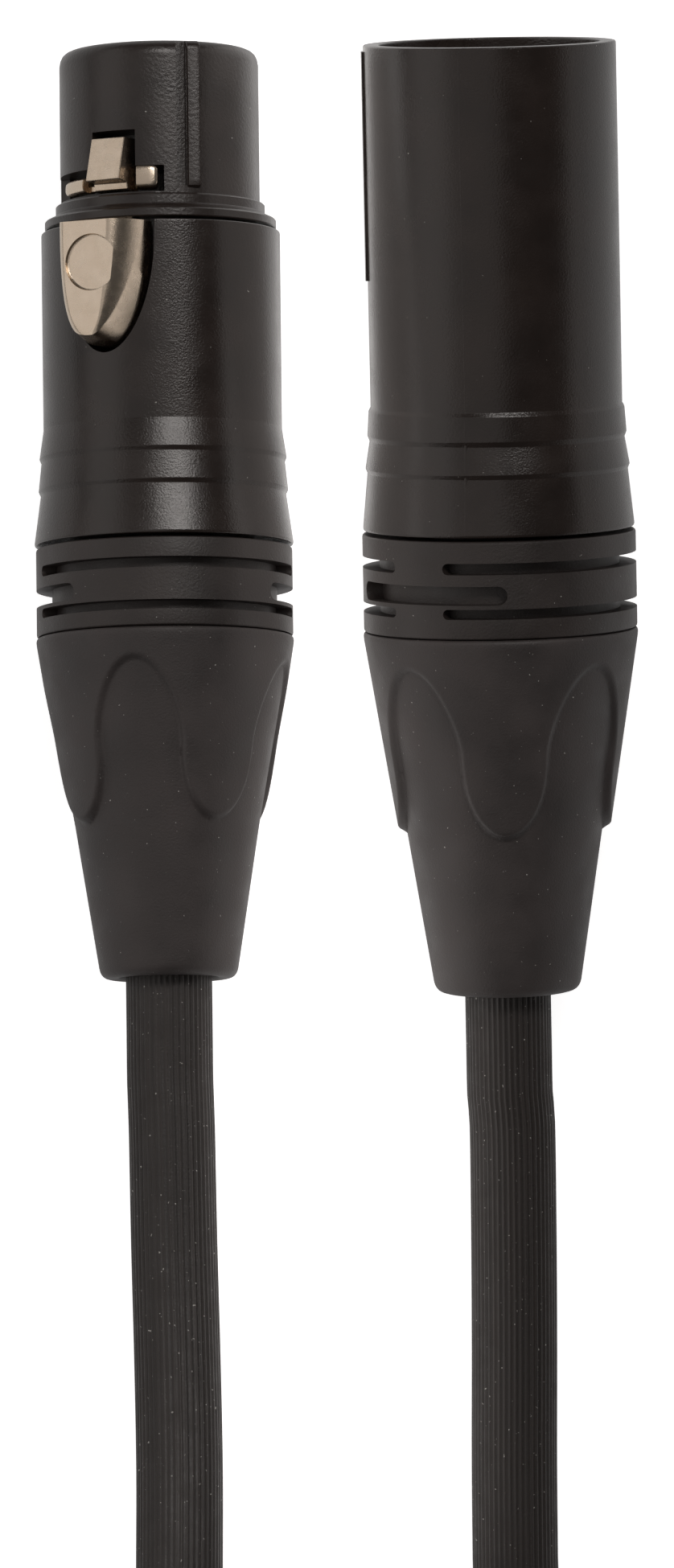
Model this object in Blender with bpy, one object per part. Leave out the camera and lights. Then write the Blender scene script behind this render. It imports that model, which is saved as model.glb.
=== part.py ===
"""An XLR lead: a female and a male cable connector on one cable, lying on a flat surface.

Each connector is built along its own axis. Its mating face is at the local origin, its cable
leaves along local -Y, and "depth" is the distance from the mating face towards the cable.
Angles around an axis start at the top and grow towards +X. Sizes are in millimetres and are
turned into metres as the meshes are made. The world is +Z up, with the surface at Z = 0.
"""

import math

import bmesh
import bpy
from mathutils import Matrix, Vector

MM = 0.001

# Placement of each connector: its mating face, its turn about Z and its tilt.
FEMALE_FACE = (-13.74, 35.43, 7.92)
FEMALE_TURN = 0.72
FEMALE_TILT = -4.9
MALE_FACE = (11.61, 35.84, 15.10)
MALE_TURN = 1.21
MALE_TILT = 5.8

# The two connectors share one rear end, made a little smaller and a little larger.
FEMALE_SIZE = 0.966
MALE_SIZE = 1.031

# Rear end shared by both connectors, before the size is applied.
COLLAR_LENGTH = 7.03
COLLAR_RADIUS = 10.17
COLLAR_BORE = 7.6
SLOT_DEPTH = 1.25
BOOT_LENGTH = 27.1
BOOT_RADIUS = 10.25
BOOT_BORE = 7.5
BOOT_SHOULDER = 9.6
CABLE_BORE = 3.72
TONGUES = 4
ARCH_TOP = 2.45
TONGUE_END = 14.45
NUT_RADIUS = 7.2
NUT_BORE = 5.0
NUT_FRONT = -6.8
NUT_REAR = 9.0
CHUCK_RADIUS = 4.7
CHUCK_BORE = 3.62

# Female connector.
NOSE_RADIUS = 7.65
LIP_DEPTH = 11.88
FLANGE_END = 13.75
CARRIER_RADIUS = 7.2
CARRIER_END = 26.0
HOUSING_START = 14.0
HOUSING_END = 38.1
HOUSING_RADIUS = 9.17
HOUSING_BORE = 7.5
FEMALE_COLLAR_START = 38.35
LATCH_SIDE = -27.4
KEY_SIDE = 17.6
LATCH_PIVOT = (22.4, 6.0)
TAB_FRONT = 14.12
TAB_TOP = 11.3
CONTACT_CIRCLE = 3.96

# Male connector.
SHELL_END = 37.3
SHELL_RADIUS = 9.67
SHELL_BORE = 8.45
MALE_COLLAR_START = 37.65
CARRIER_FACE = 16.5
MALE_CARRIER_END = 26.5
PIN_RADIUS = 1.22
PIN_SIDE = -90.0

# Cable.
CABLE_RADIUS = 3.3
JOINT_GAP = 0.3
HANK_CENTRE = 0.7
HANK_NEAR = -115.0
HANK_RUN = 93.5
FOLD_RADIUS = 19.8
HANK_COLUMNS = 2
HANK_LAYERS = 4
TIE_THICKNESS = 1.2
TIE_WIDTH = 14.0

# The route of each cable end between its boot and the hank, and of none of the rest.
FEMALE_ROUTE = [
    (-12.62, -47.0, 15.10),
    (-12.42, -56.0, 16.15),
    (-12.15, -65.0, 17.80),
    (-11.97, -73.0, 19.80),
    (-11.95, -80.5, 22.00),
    (-12.45, -86.0, 23.40),
]
MALE_ROUTE = [
    (13.50, -47.0, 6.60),
    (13.62, -55.0, 5.90),
    (13.68, -64.0, 5.35),
    (13.68, -73.0, 5.00),
    (13.75, -80.5, 4.85),
    (14.40, -86.0, 4.80),
]


def clear_scene():
    for thing in list(bpy.data.objects):
        bpy.data.objects.remove(thing, do_unlink=True)


def finish(name, colour, roughness, metallic=0.0):
    """A Principled material, given as a linear colour."""
    material = bpy.data.materials.new(name)
    material.use_nodes = True
    shader = material.node_tree.nodes["Principled BSDF"]
    shader.inputs["Base Color"].default_value = (*colour, 1.0)
    shader.inputs["Roughness"].default_value = roughness
    shader.inputs["Metallic"].default_value = metallic
    return material


def frame(name, place=(0, 0, 0), angles=(0, 0, 0), parent=None):
    """An empty that carries the pieces of one connector, or one side of it."""
    empty = bpy.data.objects.new(name, None)
    bpy.context.scene.collection.objects.link(empty)
    empty.empty_display_size = 0.01
    empty.location = Vector(place) * MM
    empty.rotation_euler = [math.radians(a) for a in angles]
    empty.parent = parent
    return empty


def add_piece(name, mesh, parent, material=None):
    """Closes a mesh built in millimetres into an object, with its faces turned outwards."""
    bmesh.ops.recalc_face_normals(mesh, faces=mesh.faces)
    bmesh.ops.scale(mesh, vec=(MM, MM, MM), verts=mesh.verts)
    data = bpy.data.meshes.new(name)
    mesh.to_mesh(data)
    mesh.free()
    data.shade_smooth()
    data.set_sharp_from_angle(angle=math.radians(30))
    piece = bpy.data.objects.new(name, data)
    bpy.context.scene.collection.objects.link(piece)
    piece.parent = parent
    if material:
        data.materials.append(material)
    return piece


def as_cutter(piece):
    piece.hide_render = True
    piece.display_type = "WIRE"
    return piece


def combine(piece, other, operation="DIFFERENCE"):
    """Cuts one piece with another, or joins the other to it. The other becomes a helper."""
    modifier = piece.modifiers.new(other.name, "BOOLEAN")
    modifier.object = as_cutter(other)
    modifier.operation = operation


def around(radius, angle, depth):
    """A point at an angle in degrees around a connector's axis."""
    turn = math.radians(angle)
    return Vector((radius * math.sin(turn), -depth, radius * math.cos(turn)))


def bridge(mesh, rings, closed_loop):
    """Faces between neighbouring rings of vertices, all with the same count."""
    pairs = list(zip(rings, rings[1:]))
    if closed_loop:
        pairs.append((rings[-1], rings[0]))
    for first, second in pairs:
        for i in range(len(first)):
            j = (i + 1) % len(first)
            mesh.faces.new((first[i], first[j], second[j], second[i]))


def turned(name, profile, parent, material=None, sides=40, centre=(0, 0), size=1.0):
    """A solid turned about a line along Y. The profile is (depth, radius) pairs.

    A profile with radius 0 at both ends gets flat caps there. Any other is closed by its own
    last edge, and makes a tube. centre is the line's X and Z.
    """
    mesh = bmesh.new()
    offset = Vector((centre[0], 0, centre[1]))
    turns = [360 * i / sides for i in range(sides)]
    rings = []
    for depth, radius in profile:
        if radius > 0:
            points = [around(radius, turn, depth) * size + offset for turn in turns]
            rings.append([mesh.verts.new(point) for point in points])
    solid = profile[0][1] == 0
    bridge(mesh, rings, closed_loop=not solid)
    if solid:
        mesh.faces.new(rings[0])
        mesh.faces.new(rings[-1])
    return add_piece(name, mesh, parent, material)


def ring_part(name, radii, depths, angles, parent, steps=12):
    """A block that follows part of a ring, used to cut slots and to add raised bands."""
    mesh = bmesh.new()
    sections = []
    for i in range(steps + 1):
        angle = angles[0] + (angles[1] - angles[0]) * i / steps
        corners = [(radii[0], depths[0]), (radii[1], depths[0])]
        corners += [(radii[1], depths[1]), (radii[0], depths[1])]
        sections.append([mesh.verts.new(around(r, angle, d)) for r, d in corners])
    bridge(mesh, sections, closed_loop=False)
    mesh.faces.new(sections[0])
    mesh.faces.new(sections[-1])
    return add_piece(name, mesh, parent)


def block(name, across, depths, heights, parent, material=None):
    """A box between two X values, two depths and two heights."""
    mesh = bmesh.new()
    bmesh.ops.create_cube(mesh, size=1)
    spans = [across, (-depths[1], -depths[0]), heights]
    for vertex in mesh.verts:
        vertex.co = [s[0] + (s[1] - s[0]) * (c + 0.5) for s, c in zip(spans, vertex.co)]
    return add_piece(name, mesh, parent, material)


def stacked(name, outlines, parent, material=None):
    """A solid through a stack of outlines, each given as (points, height)."""
    mesh = bmesh.new()
    rings = []
    for points, height in outlines:
        rings.append([mesh.verts.new((x, -depth, height)) for x, depth in points])
    bridge(mesh, rings, closed_loop=False)
    mesh.faces.new(rings[0])
    mesh.faces.new(rings[-1])
    return add_piece(name, mesh, parent, material)


def shield(half_width, front, shoulder, tip, steps=8):
    """The outline of the thumb tab: a straight front, straight sides and a rear of half an ellipse."""
    side = [(half_width, front)]
    for i in range(steps):
        turn = math.pi / 2 * i / steps
        side.append((half_width * math.cos(turn), shoulder + (tip - shoulder) * math.sin(turn)))
    return side + [(0.0, tip)] + [(-x, depth) for x, depth in reversed(side)]


def smooth_route(points, spacing):
    """Points along a smooth curve through the given ones, about one spacing apart."""
    points = [Vector(p) for p in points]
    padded = [points[0] * 2 - points[1], *points, points[-1] * 2 - points[-2]]
    route = []
    for i in range(len(points) - 1):
        a, b, c, d = padded[i : i + 4]
        steps = max(1, round((c - b).length / spacing))
        for step in range(steps):
            t = step / steps
            curve = 2 * b + (c - a) * t + (2 * a - 5 * b + 4 * c - d) * t**2
            route.append((curve + (3 * b - a - 3 * c + d) * t**3) / 2)
    return [*route, points[-1]]


def cord(name, points, radius, material, parent=None):
    """A closed round tube along a polyline, with flat ends."""
    curve = bpy.data.curves.new(name, "CURVE")
    curve.dimensions = "3D"
    curve.bevel_depth = radius * MM
    curve.bevel_resolution = 2
    curve.use_fill_caps = True
    spline = curve.splines.new("POLY")
    spline.points.add(len(points) - 1)
    for place, point in zip(spline.points, points):
        place.co = (*(Vector(point) * MM), 1)
    curve.materials.append(material)
    piece = bpy.data.objects.new(name, curve)
    bpy.context.scene.collection.objects.link(piece)
    piece.parent = parent
    return piece


# Rear end shared by both connectors


def cut_collar_slots(collar, start, bridge_side, size):
    """Three rows of slots. The outer rows leave two narrow bridges, which the middle row cuts."""
    rows = [(1.6, 2.45, 12.3, 167.7), (3.3, 4.7, -40.0, 40.0), (5.0, 5.75, 12.3, 167.7)]
    for row, (front, rear, first, last) in enumerate(rows):
        for half in (0, 180):
            slot = ring_part(
                f"{collar.name}_slot_{row}_{half}",
                ((COLLAR_RADIUS - SLOT_DEPTH) * size, (COLLAR_RADIUS + 1) * size),
                (start + front * size, start + rear * size),
                (bridge_side + half + first, bridge_side + half + last),
                collar.parent,
            )
            combine(collar, slot)


def boot_radius(depth, angle):
    """The boot's outer radius: a cone, with a raised crown that ends in four tongues."""
    wave = math.cos(math.radians(TONGUES * angle))
    reach = 0.5 + 0.5 * math.copysign(abs(wave) ** 0.6, wave)
    edge = ARCH_TOP + (TONGUE_END - ARCH_TOP) * reach
    crown = BOOT_RADIUS - 0.157 * max(0.0, depth - 0.5)
    cone = crown - 0.35 - 0.033 * max(0.0, min(depth, TONGUE_END) - ARCH_TOP)
    if depth > TONGUE_END:
        cone = 7.35 - 0.158 * (depth - TONGUE_END)
        return cone
    share = min(1.0, max(0.0, (edge - depth) / 0.9 + 0.5))
    return cone + (crown - cone) * share


def make_boot(name, start, tongue_side, size, parent, material):
    """The boot's outside is a grid of rings, and its bore is plain."""
    sides = 40
    depths = [0.0, 0.6, 2.4, 3.6, 5.0, 6.5, 8.0, 9.5, 11.0, 12.5, 13.7, 14.4, 15.2, 20.0, 25.8, 26.8]
    bore = [(BOOT_LENGTH, CABLE_BORE), (20.0, CABLE_BORE), (17.0, 5.2)]
    bore += [(BOOT_SHOULDER + 0.4, 5.6), (BOOT_SHOULDER, BOOT_BORE), (0.0, BOOT_BORE)]
    mesh = bmesh.new()
    rings = []
    for depth in depths:
        turns = [360 * i / sides for i in range(sides)]
        radii = [boot_radius(depth, turn - tongue_side) for turn in turns]
        points = [around(r * size, t, start + depth * size) for r, t in zip(radii, turns)]
        rings.append([mesh.verts.new(point) for point in points])
    for depth, radius in [(BOOT_LENGTH, 5.0), *bore]:
        points = [around(radius * size, t, start + depth * size) for t in turns]
        rings.append([mesh.verts.new(point) for point in points])
    bridge(mesh, rings, closed_loop=True)
    return add_piece(name, mesh, parent, material)


def make_rear_end(side, start, size, roll, parent, looks):
    """Collar, boot, nut, chuck and the cable's end, at a depth where the collar starts."""
    bridge_side, tongue_side = roll

    def at(depth):
        return start + depth * size

    bore = (COLLAR_BORE * size, COLLAR_RADIUS * size)
    profile = [(start, bore[0]), (start, bore[1]), (at(COLLAR_LENGTH), bore[1])]
    profile.append((at(COLLAR_LENGTH), bore[0]))
    collar = turned(f"{side}_collar", profile, parent, looks["collar"], sides=48)
    cut_collar_slots(collar, start, bridge_side, size)

    boot_start = at(COLLAR_LENGTH + 0.06)
    make_boot(f"{side}_boot", boot_start, tongue_side, size, parent, looks["boot"])

    outer, inner = NUT_RADIUS * size, NUT_BORE * size
    profile = [(at(NUT_FRONT), inner), (at(NUT_FRONT), outer - 0.5), (at(NUT_FRONT + 0.5), outer)]
    profile += [(at(COLLAR_LENGTH + NUT_REAR), outer), (at(COLLAR_LENGTH + NUT_REAR), inner)]
    turned(f"{side}_boot_nut", profile, parent, looks["plastic"], sides=32)

    outer, inner = CHUCK_RADIUS * size, max(CHUCK_BORE * size, CABLE_RADIUS + 0.15)
    profile = [(at(-3), inner), (at(-3), outer), (at(5), outer), (at(9), outer - 0.9)]
    profile.append((at(9), inner))
    turned(f"{side}_chuck", profile, parent, looks["chuck"], sides=24)

    end = at(COLLAR_LENGTH + BOOT_LENGTH)
    profile = [(at(-4), 0), (at(-4), CABLE_RADIUS), (end - 2, CABLE_RADIUS), (end - 2, 0)]
    turned(f"{side}_cable_end", profile, parent, looks["cable"], sides=24)
    return at(-4), end


def make_cores(side, places, from_depth, to_depth, looks, parent):
    """Two cores and the screen wire, from the jacket's end to the three solder cups."""
    for number, (x, z) in enumerate(places, start=1):
        spread = Vector((x, 0, z)).normalized() * 1.7
        start = Vector((spread.x, -(from_depth - JOINT_GAP), spread.z))
        finish_point = Vector((x, -(to_depth + JOINT_GAP), z))
        middle = (start + finish_point) / 2
        first = Vector((start.x, middle.y, start.z))
        last = Vector((finish_point.x, middle.y, finish_point.z))
        route = smooth_route([start, (start + first) / 2, middle, (last + finish_point) / 2,
                              finish_point], 1.2)
        cord(f"{side}_core_{number}", route, 0.55, looks[f"core_{number}"], parent)


def contact_places(circle):
    """X and Z of contacts 1, 2 and 3, with the latch side at the top."""
    return [(-circle, 0.0), (circle, 0.0), (0.0, -circle)]


# Female connector


def make_nose(parent, latch, looks):
    """The contact carrier: a turned block with its key, bores, window and latch channel."""
    profile = [(0, 0), (0, 6.7), (0.35, 7.35), (1.1, NOSE_RADIUS), (LIP_DEPTH, NOSE_RADIUS)]
    profile += [(LIP_DEPTH, 8.0), (12.7, 8.0), (12.96, 8.55), (13.2, 8.85)]
    profile += [(FLANGE_END, 8.85), (FLANGE_END, CARRIER_RADIUS), (CARRIER_END, CARRIER_RADIUS)]
    profile.append((CARRIER_END, 0))
    nose = turned("female_nose", profile, parent, looks["nose"])
    key_side = frame("key_side", angles=(0, KEY_SIDE, 0), parent=parent)
    combine(nose, block("key_ridge", (-0.9, 0.9), (0.4, 11.4), (7.0, 7.98), key_side), "UNION")
    cuts = [
        block("hook_window", (-1.85, 1.85), (6.9, 11.7), (4.6, 10), latch),
        block("wing_notch", (-7.7, 3.9), (9.7, 11.7), (2.9, 10), latch),
        block("arm_channel", (-1.7, 1.7), (7.2, 24.5), (4.6, 7.45), latch),
        block("tab_flat", (-3.9, 3.9), (13.78, 21.0), (6.6, 10), latch),
    ]
    spring_hole = cylinder("spring_hole", 1.5, (3.9, 10), latch, depth=17.0)
    pin_hole = cross_pin("pin_hole", 0.65, 4.5, latch)
    for cutter in [*cuts, spring_hole, pin_hole]:
        combine(nose, cutter)
    for number, (x, z) in enumerate(contact_places(CONTACT_CIRCLE * FEMALE_SIZE), start=1):
        profile = [(-1, 0), (-1, 1.85), (27, 1.85), (27, 0)]
        combine(nose, turned(f"socket_bore_{number}", profile, latch, sides=16, centre=(x, z)))
        profile = [(0.8, 1.25), (0.8, 1.4), (1.0, 1.55), (22, 1.55), (22, 1.05), (28, 1.05)]
        profile += [(28, 0.7), (24.5, 0.7), (24.5, 0)]
        bore = [(16, 0), (16, 1.25)]
        socket = [*bore, *profile]
        turned(f"female_socket_{number}", socket, latch, looks["contact"], 16, (x, z))


def cylinder(name, radius, heights, parent, depth, material=None, sides=16):
    """A round post along Z at a depth."""
    mesh = bmesh.new()
    height = heights[1] - heights[0]
    place = Matrix.Translation((0, -depth, (heights[0] + heights[1]) / 2))
    bmesh.ops.create_cone(
        mesh,
        cap_ends=True,
        segments=sides,
        radius1=radius,
        radius2=radius,
        depth=height,
        matrix=place,
    )
    return add_piece(name, mesh, parent, material)


def cross_pin(name, radius, half_length, parent, material=None):
    """A round pin along X through the latch's pivot."""
    depth, height = LATCH_PIVOT
    mesh = bmesh.new()
    bmesh.ops.create_cone(
        mesh,
        cap_ends=True,
        segments=16,
        radius1=radius,
        radius2=radius,
        depth=2 * half_length,
        matrix=Matrix.Translation((0, -depth, height)) @ Matrix.Rotation(math.pi / 2, 4, "Y"),
    )
    return add_piece(name, mesh, parent, material)


def make_housing(parent, latch, looks):
    """The sleeve, with three rings that flare towards the cable and a window for the tab."""
    radius = HOUSING_RADIUS
    profile = [(HOUSING_START, HOUSING_BORE), (HOUSING_START, radius - 0.2), (14.25, radius)]
    profile += [(29.2, radius - 0.02), (31.4, 9.48), (31.7, 9.36), (33.9, 9.56), (34.2, 9.42)]
    profile += [(37.8, 9.9), (HOUSING_END, 9.8), (HOUSING_END, HOUSING_BORE)]
    housing = turned("female_housing", profile, parent, looks["housing"], sides=48)
    outline = shield(3.9, 13.0, 15.0, 24.1)
    combine(housing, stacked("tab_window", [(outline, 5.0), (outline, 13.0)], latch))


def make_latch(latch, looks):
    """The lever: tab, knuckle, arm with the hook, and two wings that stop it."""
    pivot_depth, pivot_height = LATCH_PIVOT
    outlines = [
        (shield(3.5, TAB_FRONT, 15.0, 23.6), 7.6),
        (shield(3.35, TAB_FRONT, 15.2, 23.3), 9.2),
        (shield(2.95, TAB_FRONT, 15.6, 23.0), 10.6),
        (shield(2.3, TAB_FRONT + 0.1, 16.4, 22.6), TAB_TOP),
    ]
    tab = stacked("female_latch", outlines, latch, looks["latch"])
    dish = cylinder("disc_dish", 2.2, (TAB_TOP - 0.25, TAB_TOP + 1), latch, depth=17.4, sides=32)
    knuckle = block("knuckle", (-1.2, 1.2), (21.4, 23.2), (5.1, 7.9), latch)
    side = [(7.5, 8.4), (10.5, 9.35), (10.6, 7.95), (11.4, 7.6), (11.6, 7.2), (14.3, 7.2), (14.5, 8.6)]
    side += [(15.6, 8.6), (15.6, 6.9), (15.0, 6.1), (8.0, 6.1), (7.5, 6.6)]
    mesh = bmesh.new()
    rings = [[mesh.verts.new((x, -depth, height)) for depth, height in side] for x in (-1.4, 1.4)]
    bridge(mesh, rings, closed_loop=False)
    mesh.faces.new(rings[0])
    mesh.faces.new(rings[1])
    arm = add_piece("hook_arm", mesh, latch)
    left_wing = ring_part("left_wing", (6.25, 7.55), (10.2, 11.4), (-47, -21), latch, steps=5)
    right_wing = ring_part("right_wing", (5.9, 7.6), (9.95, 11.45), (14.5, 26.5), latch, steps=3)
    wing_bar = block("wing_bar", (-2.9, 2.2), (10.4, 11.3), (5.2, 6.4), latch)
    for other in (knuckle, arm, wing_bar, left_wing, right_wing):
        combine(tab, other, "UNION")
    combine(tab, dish)
    combine(tab, cross_pin("knuckle_bore", 0.68, 3.0, latch))
    move = Matrix.Translation((0, pivot_depth * MM, -pivot_height * MM))
    tab.data.transform(move)
    tab.location = (0, -pivot_depth * MM, pivot_height * MM)
    cross_pin("female_latch_pin", 0.5, 2.9, latch, looks["steel"])


def make_spring(latch, looks):
    """A small coil spring under the tab, standing in its blind hole."""
    turns, radius, wire = 4, 0.95, 0.17
    foot, head = 4.75, 7.4
    count = turns * 12
    points = []
    for i in range(count + 1):
        turn = 2 * math.pi * turns * i / count
        height = foot + (head - foot) * i / count
        points.append((radius * math.cos(turn), -17.0 + radius * math.sin(turn), height))
    spring = cord("female_latch_spring", points, wire, looks["steel"], latch)
    spring.data.bevel_resolution = 1


def make_female(looks):
    angles = (FEMALE_TILT, 0, FEMALE_TURN)
    connector = frame("female_connector", FEMALE_FACE, angles)
    latch = frame("latch_side", angles=(0, LATCH_SIDE, 0), parent=connector)
    make_nose(connector, latch, looks)
    make_housing(connector, latch, looks)
    make_latch(latch, looks)
    make_spring(latch, looks)
    roll = (-84.0, 31.0)
    jacket_end, boot_end = make_rear_end(
        "female", FEMALE_COLLAR_START, FEMALE_SIZE, roll, connector, looks
    )
    places = contact_places(CONTACT_CIRCLE * FEMALE_SIZE)
    make_cores("female", places, jacket_end, 28, looks, latch)
    return connector, boot_end


# Male connector


def make_shell(parent, looks):
    """The male shell: an open tube with three step rings and a shallow rib on its left."""
    radius = SHELL_RADIUS
    profile = [(0, SHELL_BORE), (0, radius - 0.15), (0.25, radius), (27.7, radius - 0.03)]
    profile += [(28.0, 9.8), (29.9, 9.92), (30.3, 9.78), (32.4, 10.12), (32.75, 10.0)]
    profile += [(37.0, 10.38), (SHELL_END, 10.28), (SHELL_END, 7.75), (27.0, 7.75)]
    profile.append((27.0, SHELL_BORE))
    shell = turned("male_shell", profile, parent, looks["housing"], sides=48)
    rib = ring_part("rib", (radius - 0.6, radius + 0.25), (0.5, 18.0), (-104, -76), parent, 6)
    combine(shell, rib, "UNION")


def make_pins(parent, looks):
    pin_frame = frame("pin_side", angles=(0, PIN_SIDE, 0), parent=parent)
    profile = [(CARRIER_FACE, 0), (CARRIER_FACE, 8.15), (MALE_CARRIER_END, 8.15)]
    profile.append((MALE_CARRIER_END, 0))
    carrier = turned("male_carrier", profile, pin_frame, looks["plastic"])
    places = contact_places(CONTACT_CIRCLE * MALE_SIZE)
    for number, (x, z) in enumerate(places, start=1):
        hole = [(15, 0), (15, PIN_RADIUS + 0.25), (28, PIN_RADIUS + 0.25), (28, 0)]
        combine(carrier, turned(f"pin_bore_{number}", hole, pin_frame, sides=16, centre=(x, z)))
        profile = [(2.2, 0), (2.2, 0.5), (2.9, 1.05), (3.6, PIN_RADIUS), (27.2, PIN_RADIUS)]
        profile += [(27.2, 1.05), (29.2, 1.05), (29.2, 0.7), (27.4, 0.7), (27.4, 0)]
        turned(f"male_pin_{number}", profile, pin_frame, looks["contact"], 16, (x, z))
    return pin_frame, places


def make_male(looks):
    angles = (MALE_TILT, 0, MALE_TURN)
    connector = frame("male_connector", MALE_FACE, angles)
    make_shell(connector, looks)
    pin_frame, places = make_pins(connector, looks)
    roll = (-37.7, 0.0)
    jacket_end, boot_end = make_rear_end(
        "male", MALE_COLLAR_START, MALE_SIZE, roll, connector, looks
    )
    make_cores("male", places, jacket_end, 29.2, looks, pin_frame)
    return connector, boot_end


# Cable


def make_tail(name, connector, boot_end, route, material):
    """The cable from inside the boot's mouth to the hank."""
    bpy.context.view_layer.update()
    place = connector.matrix_world
    ahead = [place @ Vector((0, -(boot_end + d) * MM, 0)) / MM for d in (-1.6, 0, 4, 8)]
    points = smooth_route([*ahead, *route], 2.5 * 2 * CABLE_RADIUS)
    cord(name, points, CABLE_RADIUS, material)


def racetrack(outer, steps=12):
    """A long loop with round ends, as X and depth pairs, at a distance from its two centres."""
    points = []
    for centre, start in ((HANK_NEAR, 0), (HANK_NEAR - HANK_RUN, 180)):
        for i in range(steps + 1):
            turn = math.radians(start + 180 * i / steps)
            x = HANK_CENTRE + outer * math.cos(turn)
            points.append((x, -(centre + outer * math.sin(turn))))
    return points


def make_hank(looks):
    """One closed solid of the hank's outer shape, open along its middle."""
    inside = FOLD_RADIUS - CABLE_RADIUS
    outside = FOLD_RADIUS + (2 * HANK_COLUMNS - 1) * CABLE_RADIUS
    foot = TIE_THICKNESS + JOINT_GAP
    head = foot + 2 * CABLE_RADIUS * HANK_LAYERS
    mesh = bmesh.new()
    rings = []
    for points, height in (
        (racetrack(outside), foot),
        (racetrack(outside), head),
        (racetrack(inside), head),
        (racetrack(inside), foot),
    ):
        rings.append([mesh.verts.new((x, -depth, height)) for x, depth in points])
    bridge(mesh, rings, closed_loop=True)
    add_piece("cable_hank", mesh, None, looks["cable"])
    return inside, outside, foot, head


def make_tie(inside, outside, foot, head, looks):
    """A strap around the bundle at the hank's far fold, bent along the fold."""
    near, far = inside - JOINT_GAP, outside + JOINT_GAP
    low, high = foot - JOINT_GAP, head + JOINT_GAP
    thick = TIE_THICKNESS
    outer = [(near - thick, low - thick), (far + thick, low - thick)]
    outer += [(far + thick, high + thick), (near - thick, high + thick)]
    inner = [(near, low), (far, low), (far, high), (near, high)]
    steps = 6
    mesh = bmesh.new()
    loops = {"outer": [], "inner": []}
    for i in range(steps + 1):
        across = TIE_WIDTH * (i / steps - 0.5)
        for key, corners in (("outer", outer), ("inner", inner)):
            ring = []
            for reach, height in corners:
                y = HANK_NEAR - HANK_RUN - math.sqrt(reach**2 - across**2)
                ring.append(mesh.verts.new((HANK_CENTRE + across, y, height)))
            loops[key].append(ring)
    for key in loops:
        bridge(mesh, loops[key], closed_loop=False)
    for end in (0, -1):
        bridge(mesh, [loops["outer"][end], loops["inner"][end]], closed_loop=False)
    add_piece("cable_tie", mesh, None, looks["tie"])


def make_looks():
    return {
        "housing": finish("satin_black", (0.022, 0.021, 0.020), 0.38),
        "nose": finish("moulded_black", (0.018, 0.018, 0.018), 0.30),
        "collar": finish("collar_black", (0.028, 0.027, 0.026), 0.55),
        "boot": finish("boot_rubber", (0.034, 0.033, 0.032), 0.72),
        "plastic": finish("inner_plastic", (0.02, 0.02, 0.02), 0.45),
        "chuck": finish("chuck_white", (0.62, 0.61, 0.57), 0.5),
        "latch": finish("nickel", (0.62, 0.57, 0.50), 0.25, 1.0),
        "steel": finish("spring_steel", (0.45, 0.45, 0.46), 0.3, 1.0),
        "contact": finish("silver_contact", (0.75, 0.73, 0.68), 0.25, 1.0),
        "cable": finish("cable_jacket", (0.03, 0.029, 0.028), 0.6),
        "core_1": finish("screen_wire", (0.40, 0.23, 0.14), 0.4, 1.0),
        "core_2": finish("core_red", (0.45, 0.03, 0.02), 0.5),
        "core_3": finish("core_white", (0.70, 0.69, 0.65), 0.5),
        "tie": finish("strap_black", (0.02, 0.02, 0.02), 0.9),
    }


def main():
    clear_scene()
    looks = make_looks()
    female, female_end = make_female(looks)
    male, male_end = make_male(looks)
    make_tail("cable_tail_female", female, female_end, FEMALE_ROUTE, looks["cable"])
    make_tail("cable_tail_male", male, male_end, MALE_ROUTE, looks["cable"])
    make_tie(*make_hank(looks), looks)


main()
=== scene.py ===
# %% [markdown]
# # A stage microphone lead, piece by piece
#
# The real object is one black cable with a connector on each end: a female one with a sprung
# metal latch, and a male one with an open shell. Behind each sits a slotted collar and a soft
# rubber boot, and the rest of the cable is folded into a flat hank with a strap round it.
# A measured model of every piece is loaded first, and each finished piece is built around it.

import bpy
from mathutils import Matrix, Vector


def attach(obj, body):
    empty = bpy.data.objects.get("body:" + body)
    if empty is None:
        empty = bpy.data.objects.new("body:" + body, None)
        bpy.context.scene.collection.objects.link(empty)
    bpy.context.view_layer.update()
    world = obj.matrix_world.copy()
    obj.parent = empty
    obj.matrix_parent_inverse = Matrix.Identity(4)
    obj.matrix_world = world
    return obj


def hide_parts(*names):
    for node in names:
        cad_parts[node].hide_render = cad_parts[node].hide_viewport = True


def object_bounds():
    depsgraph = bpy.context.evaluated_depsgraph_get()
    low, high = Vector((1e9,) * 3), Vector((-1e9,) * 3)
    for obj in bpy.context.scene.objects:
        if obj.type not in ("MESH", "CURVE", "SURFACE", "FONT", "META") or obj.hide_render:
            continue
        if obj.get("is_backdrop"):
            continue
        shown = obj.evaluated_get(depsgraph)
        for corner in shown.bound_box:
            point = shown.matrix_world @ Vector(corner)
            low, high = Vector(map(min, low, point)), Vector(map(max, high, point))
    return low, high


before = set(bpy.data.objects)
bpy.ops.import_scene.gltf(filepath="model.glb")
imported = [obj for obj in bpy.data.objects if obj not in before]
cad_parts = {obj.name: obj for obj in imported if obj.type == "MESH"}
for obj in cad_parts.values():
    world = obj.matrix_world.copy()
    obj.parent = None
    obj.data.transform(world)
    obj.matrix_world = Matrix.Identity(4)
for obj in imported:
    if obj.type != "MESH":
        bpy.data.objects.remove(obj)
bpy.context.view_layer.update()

# %% Everything else the lesson uses
import math

import bmesh
import bpy
import numpy as np
from mathutils import Euler, Matrix, Vector

MM = 0.001

# %% [markdown]
# Two things are done many times in this lesson: putting a new object in the scene, and adding a
# node to a tree with a value or a link on each of its inputs. Each has a small function.

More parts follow.
